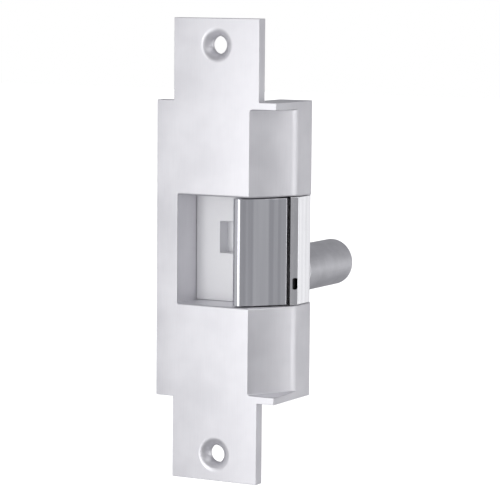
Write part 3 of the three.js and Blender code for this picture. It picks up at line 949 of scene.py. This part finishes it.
def crowned_screw(node, shank, head_height):
    low, high = span(node)
    x, z = middle(node).x, middle(node).z
    head, top = (high.x - low.x) / 2, high.y
    seat = top - head_height
    core = shank * 0.82
    profile = [(0, low.y), (core * 0.7, low.y), (core, low.y + core * 0.4)]
    profile += thread(shank, core, low.y + core * 0.5, seat - 0.6, 0.5)
    profile += [(shank, seat - 0.5), (shank, seat), (head - 0.12, seat), (head, seat + 0.12),
                (head, seat + head_height * 0.5)]
    for degrees in (15, 35, 55, 75):
        turn = math.radians(degrees)
        profile.append((head - 0.45 * head * (1 - math.cos(turn)),
                        seat + head_height * (0.5 + 0.47 * math.sin(turn))))
    profile += [(head * 0.62, top), (0, top)]
    screw = turned(profile, (x, z), sides=40)
    return cut(screw, hexagon(x, z, head * 0.82, top - head_height * 0.62, top + 1, 17 * x))


for name in case_screws:
    deliver(crowned_screw(name, 1.4, 1.8), name, "strike_frame", bright_zinc)
for name in cover_screws:
    deliver(crowned_screw(name, 1.15, 1.4), name, "strike_frame", bright_zinc)


def flush_screw(node):
    low, high = span(node)
    x, z = middle(node).x, middle(node).z
    core, shank, head = 0.95, 1.2, (high.x - low.x) / 2
    neck = lip_depth + 1.05
    profile = [(0, low.y), (core * 0.7, low.y), (core, low.y + 0.4)]
    profile += thread(shank, core, low.y + 0.5, neck - 0.3, 0.45)
    profile += [(shank, neck), (head, high.y - 0.12), (head - 0.08, high.y), (0, high.y)]
    screw = turned(profile, (x, z), sides=40)
    return cut(screw, hexagon(x, z, 1.5, high.y - 0.9, high.y + 1, 25))


for name in guard_screws:
    deliver(flush_screw(name), name, "strike_frame", bright_zinc)

# %% [markdown]
# ## The solenoid
#
# The push solenoid screws into the cover by a threaded pole, with a lock washer and a nut behind
# it. Its can is drawn steel with a rolled edge, spun over an end cap. Inside are the bobbin with
# its winding, and the plunger with a steel rod that pushes the lever. All are turned shapes on
# one axis.

# %% Solenoid: can, cap and pole
SOLENOID = (axis_x, axis_z)
can_low, can_high = span("solenoid_can")
can_radius = (can_high.x - can_low.x) / 2


def can_profile():
    front, rear, wall = can_low.y, can_high.y, 1.0
    inner = can_radius - wall
    hole = 4.95
    shoulder = arc(can_radius - 0.9, front + 0.9, 0.9, -90, 0, 6)
    rim = arc(can_radius - 0.7, rear - 0.7, 0.7, 0, 90, 6)
    lip = [(inner - 0.2, rear), (inner - 0.75, rear - 0.2), (inner - 0.8, rear - 0.4),
           (inner - 0.3, rear - 0.5), (inner, rear - 0.8)]
    return [(hole, front), *shoulder, *rim, *lip, (inner, front + 1.5), (hole, front + 1.5),
            (hole, front)]


deliver(turned(can_profile(), SOLENOID, sides=128), "solenoid_can", "strike_frame",
        can_nickel)

cap_low, cap_high = span("solenoid_end_cap")
lead = middle("lead_bushing")
cap_radius = 6.75
cap = turned([(0, cap_low.y), (cap_radius - 0.3, cap_low.y), (cap_radius, cap_low.y + 0.3),
              (cap_radius, cap_high.y - 0.15), (cap_radius - 0.15, cap_high.y),
              (5.6, cap_high.y), (5.45, cap_high.y - 0.2), (5.1, cap_high.y - 0.2),
              (4.95, cap_high.y), (0, cap_high.y)], SOLENOID, sides=96)
cut(cap, straight_hole(lead.x, lead.z, 1.95, 60, 75))
deliver(cap, "solenoid_end_cap", "strike_frame", can_nickel)

pole_low, pole_high = span("solenoid_front_pole")
pole_bore = 1.75
pole_flange = can_low.y + 1.6
pole_profile = [(pole_bore, pole_low.y), (4.2, pole_low.y)]
pole_profile += thread(4.8, 4.35, pole_low.y + 0.2, pole_flange - 0.3, 0.6)
pole_profile += [(4.4, pole_flange), (6.7, pole_flange), (6.7, pole_flange + 0.8),
                 (4.0, pole_flange + 0.8), (4.0, pole_high.y - 0.4), (3.2, pole_high.y),
                 (pole_bore, pole_high.y), (pole_bore, pole_low.y)]
deliver(turned(pole_profile, SOLENOID, sides=64), "solenoid_front_pole", "strike_frame",
        bright_zinc)

# %% Solenoid: nut and washer
nut_low, nut_high = span("solenoid_nut")
nut_corner = (nut_high.x - nut_low.x) / 2
nut = prism(arc(*SOLENOID, nut_corner, 0, 300, 5), nut_low.y, nut_high.y, "Y")
nut_rim = nut_corner + 0.05
ring = [(0, nut_low.y - 1), (nut_rim - 0.6, nut_low.y - 1), (nut_rim, nut_low.y + 0.45),
        (nut_rim, nut_high.y - 0.45), (nut_rim - 0.6, nut_high.y + 1), (0, nut_high.y + 1)]
combined(nut, [turned(ring, SOLENOID, sides=96)], "INTERSECT")
softened(nut, 0.1, segments=2)
cut(nut, straight_hole(*SOLENOID, 4.9, nut_low.y - 1, nut_high.y + 1))
deliver(nut, "solenoid_nut", "strike_frame", bright_zinc)

washer_low, washer_high = span("solenoid_washer")


def toothed_washer():
    """A lock washer: a ring whose outer edge is cut into twisted teeth."""
    outer, root, hole, teeth = 7.0, 6.1, 4.95, 14
    rim = []
    for i in range(teeth):
        start = 360 / teeth * i
        rim += arc(*SOLENOID, outer, start, start + 15, 3) + arc(*SOLENOID, root, start + 18,
                                                                start + 23, 2)
    ring = prism(rim, washer_low.y, washer_high.y, "Y")
    cut(ring, straight_hole(*SOLENOID, hole, washer_low.y - 1, washer_high.y + 1))
    return ring


deliver(toothed_washer(), "solenoid_washer", "strike_frame", bright_zinc)

# %% Solenoid: bobbin, winding, plunger and rod
bobbin_low, bobbin_high = span("solenoid_bobbin")
barrel, flange_radius, tube = 4.9, 6.7, 4.15
low, high = bobbin_low.y, bobbin_high.y
bobbin_profile = [(tube, low), (flange_radius - 0.2, low), (flange_radius, low + 0.2),
                  (flange_radius, low + 0.8), (flange_radius - 0.2, low + 1),
                  (barrel + 0.2, low + 1), (barrel, low + 1.2), (barrel, high - 1.2),
                  (barrel + 0.2, high - 1), (flange_radius - 0.2, high - 1),
                  (flange_radius, high - 0.8), (flange_radius, high - 0.2),
                  (flange_radius - 0.2, high), (tube, high), (tube, low)]
deliver(turned(bobbin_profile, SOLENOID, sides=64), "solenoid_bobbin", "strike_frame",
        nylon)

winding_low, winding_high = span("solenoid_winding")
wire_pitch = 0.5
rows = int((winding_high.y - winding_low.y) / wire_pitch)
crests = []
for i in range(rows):
    start = winding_low.y + i * wire_pitch
    crests += [(6.2, start), (6.34, start + wire_pitch * 0.25), (6.4, start + wire_pitch * 0.5),
               (6.34, start + wire_pitch * 0.75)]
inner_winding = 5.1
winding_profile = [(inner_winding, winding_low.y), *crests, (6.2, winding_high.y),
                   (inner_winding, winding_high.y), (inner_winding, winding_low.y)]
deliver(turned(winding_profile, SOLENOID, sides=64), "solenoid_winding", "strike_frame",
        copper_wire)

plunger_low, plunger_high = span("solenoid_plunger")
socket = 1.5
low, high = plunger_low.y, plunger_high.y
plunger_profile = [(0, low + 3.6), (socket, low + 3.6), (socket, low), (3.4, low),
                   (3.8, low + 0.4), (3.8, high - 3), (3.6, high - 2.9), (3.6, high - 2.3),
                   (3.8, high - 2.2), (3.8, high - 0.4), (3.4, high), (0, high)]
deliver(turned(plunger_profile, SOLENOID, sides=64), "solenoid_plunger", "plunger",
        bright_zinc)

rod_low, rod_high = span("push_rod")
rod_radius = 1.4
dome = arc(0, rod_low.y + rod_radius, rod_radius, -90, 0, 10)
rod_profile = [(0, rod_low.y), *dome[1:], (rod_radius, rod_high.y - 0.2),
               (rod_radius - 0.2, rod_high.y), (0, rod_high.y)]
deliver(turned(rod_profile, SOLENOID, sides=40), "push_rod", "plunger", rod_steel)

# %% [markdown]
# ## The lead bushing
#
# A rubber bushing guards the lead wires where they leave the end cap. It has a flange inside and
# out of the cap, and a ribbed sleeve that bends with the wires.

# %% The lead bushing
bushing_low, bushing_high = span("lead_bushing")
cap_face = bushing_high.y - 3.8
sleeve = [(2.2, cap_face + 1.3)]
for i in range(3):
    start = cap_face + 1.5 + i * 0.75
    sleeve += [(1.95, start), (1.95, start + 0.35), (1.72, start + 0.42), (1.72, start + 0.68)]
bushing_profile = [(0.95, bushing_low.y), (1.7, bushing_low.y), (1.8, bushing_low.y + 0.1),
                   (1.8, cap_face), (2.6, cap_face), (2.7, cap_face + 0.1),
                   (2.7, cap_face + 0.85), (2.55, cap_face + 1.05), *sleeve,
                   (1.7, bushing_high.y - 0.05), (1.2, bushing_high.y), (0.95, bushing_high.y),
                   (0.95, bushing_low.y)]
deliver(turned(bushing_profile, (lead.x, lead.z), sides=48), "lead_bushing", "strike_frame",
        rubber)

# %% [markdown]
# ## The studio
#
# The strike hangs in front of a pale sweep, as a catalogue part does. Metal shows what stands
# around it, so the lights are soft, and each stands where some face would mirror it. A wide box
# and a strip at the front left light the face, and a small box straight ahead fills the pocket.
# Others stand at the left, above the front and above the right. Cards at the right and the back
# right brighten the corner bar, the lip's side and the ramps, one box stands beside the camera,
# and an even grey room gives the rest. Their strengths were found by trial. The floor is a pale
# sheet well below the part, which the metal doesn't see, so that it stays as dark as the room
# underneath.

# %% Lights
def softbox(name, direction, distance, width, height, glow, aim=(0, 0, 0)):
    """A rectangular light in a direction from the aim, facing it. Glow 1 is paper white."""
    away = Vector(direction).normalized()
    light = bpy.data.lights.new(name, "AREA")
    light.shape, light.size, light.size_y = "RECTANGLE", width, height
    light.energy = glow * math.pi * width * height
    lamp = bpy.data.objects.new(name, light)
    lamp.location = Vector(aim) + away * distance
    lamp.rotation_euler = away.to_track_quat("Z", "Y").to_euler()
    lamp.visible_camera = False
    bpy.context.scene.collection.objects.link(lamp)


softbox("front_wide", (-0.317, -0.948, -0.02), 1.0, 1.3, 1.0, 0.12)
softbox("front_strip", (-0.40, -0.91, -0.07), 0.15, 0.05, 0.27, 1.3, aim=(0.029, 0, -0.026))
softbox("pocket_box", (-0.1, -0.99, 0.0), 0.3, 0.16, 0.2, 1.2)
softbox("left_box", (-0.9, -0.43, -0.05), 1.0, 0.6, 1.0, 0.3)
softbox("top_front", (-0.40, -0.72, 0.57), 0.8, 0.9, 0.25, 0.6)
softbox("top_right", (0.80, -0.15, 0.58), 0.8, 0.5, 0.3, 1.6)
softbox("back_card", (0.475, 0.87, -0.10), 0.9, 0.26, 0.24, 0.36)
softbox("back_tall", (0.475, 0.87, -0.10), 0.95, 0.2, 0.9, 0.24)
softbox("right_card", (0.9, 0.43, -0.10), 1.0, 0.35, 0.9, 0.76)
softbox("right_near", (0.95, 0.31, -0.10), 1.0, 0.20, 0.9, 1.3)
softbox("camera_side", (0.52, -0.85, 0.05), 1.3, 0.7, 0.7, 0.4)
softbox("right_front", (0.94, -0.31, -0.10), 1.0, 0.4, 0.9, 0.08)

# %% Room and floor
world = bpy.data.worlds.new("studio")
world.use_nodes = True
bpy.context.scene.world = world
tree = world.node_tree
room = tree.nodes["Background"]
room.inputs["Color"].default_value = (0.34, 0.34, 0.355, 1)
paper = tree.nodes.new("ShaderNodeBackground")
paper.inputs["Color"].default_value = (1, 1, 1, 1)
seen = tree.nodes.new("ShaderNodeLightPath")
either = tree.nodes.new("ShaderNodeMixShader")
tree.links.new(seen.outputs["Is Camera Ray"], either.inputs[0])
tree.links.new(room.outputs[0], either.inputs[1])
tree.links.new(paper.outputs[0], either.inputs[2])
tree.links.new(either.outputs[0], tree.nodes["World Output"].inputs["Surface"])

pale = bpy.data.materials.new("pale_paper")
pale.use_nodes = True
paper_shader = pale.node_tree.nodes["Principled BSDF"]
paper_shader.inputs["Base Color"].default_value = (0.9, 0.9, 0.9, 1)
paper_shader.inputs["Roughness"].default_value = 0.9
paper_shader.inputs["Emission Color"].default_value = (1, 1, 1, 1)
paper_shader.inputs["Emission Strength"].default_value = 1.0

floor_reach, floor_z = 6, -0.25
floor_bm = bmesh.new()
bmesh.ops.create_grid(floor_bm, x_segments=1, y_segments=1, size=floor_reach)
bmesh.ops.translate(floor_bm, verts=floor_bm.verts, vec=(0, 0, floor_z))
floor_mesh = bpy.data.meshes.new("floor")
floor_bm.to_mesh(floor_mesh)
floor_bm.free()
floor = bpy.data.objects.new("floor", floor_mesh)
floor.data.materials.append(pale)
bpy.context.scene.collection.objects.link(floor)
floor.visible_glossy = floor.visible_diffuse = floor.visible_shadow = False

# %% [markdown]
# ## The camera
#
# The camera stands to the right of the plate and a little above it, and looks through a long
# lens, so that the plate's edges stay nearly parallel. It is placed by its direction and distance
# from the point that it looks at. Standard colour keeps the paper white.

# %% The camera
azimuth, elevation, roll = math.radians(28.51), math.radians(6.01), math.radians(0.45)
distance = 0.8482
target = Vector((0.0130, 0.0, 0.00123))
back = Vector((math.sin(azimuth) * math.cos(elevation),
               -math.cos(azimuth) * math.cos(elevation), math.sin(elevation)))
right = Vector((math.cos(azimuth), math.sin(azimuth), 0))
up = back.cross(right)
right_r = right * math.cos(roll) + up * math.sin(roll)
up_r = up * math.cos(roll) - right * math.sin(roll)
lens = bpy.data.cameras.new("camera")
lens.sensor_width, lens.lens = 36, 187.8
camera = bpy.data.objects.new("camera", lens)
camera.matrix_world = Matrix.Translation(target + back * distance) @ Matrix(
    (right_r, up_r, back)).transposed().to_4x4()
bpy.context.scene.collection.objects.link(camera)
bpy.context.scene.camera = camera
bpy.context.scene.view_settings.view_transform = "Standard"
print("camera at", [round(v, 3) for v in camera.location])

# %% [markdown]
# ## The count of pieces
#
# The finished model should fill the CAD's box and no more; the script ends by printing how many
# pieces it made.

# %% Pieces
print("pieces:", len(made_pieces))
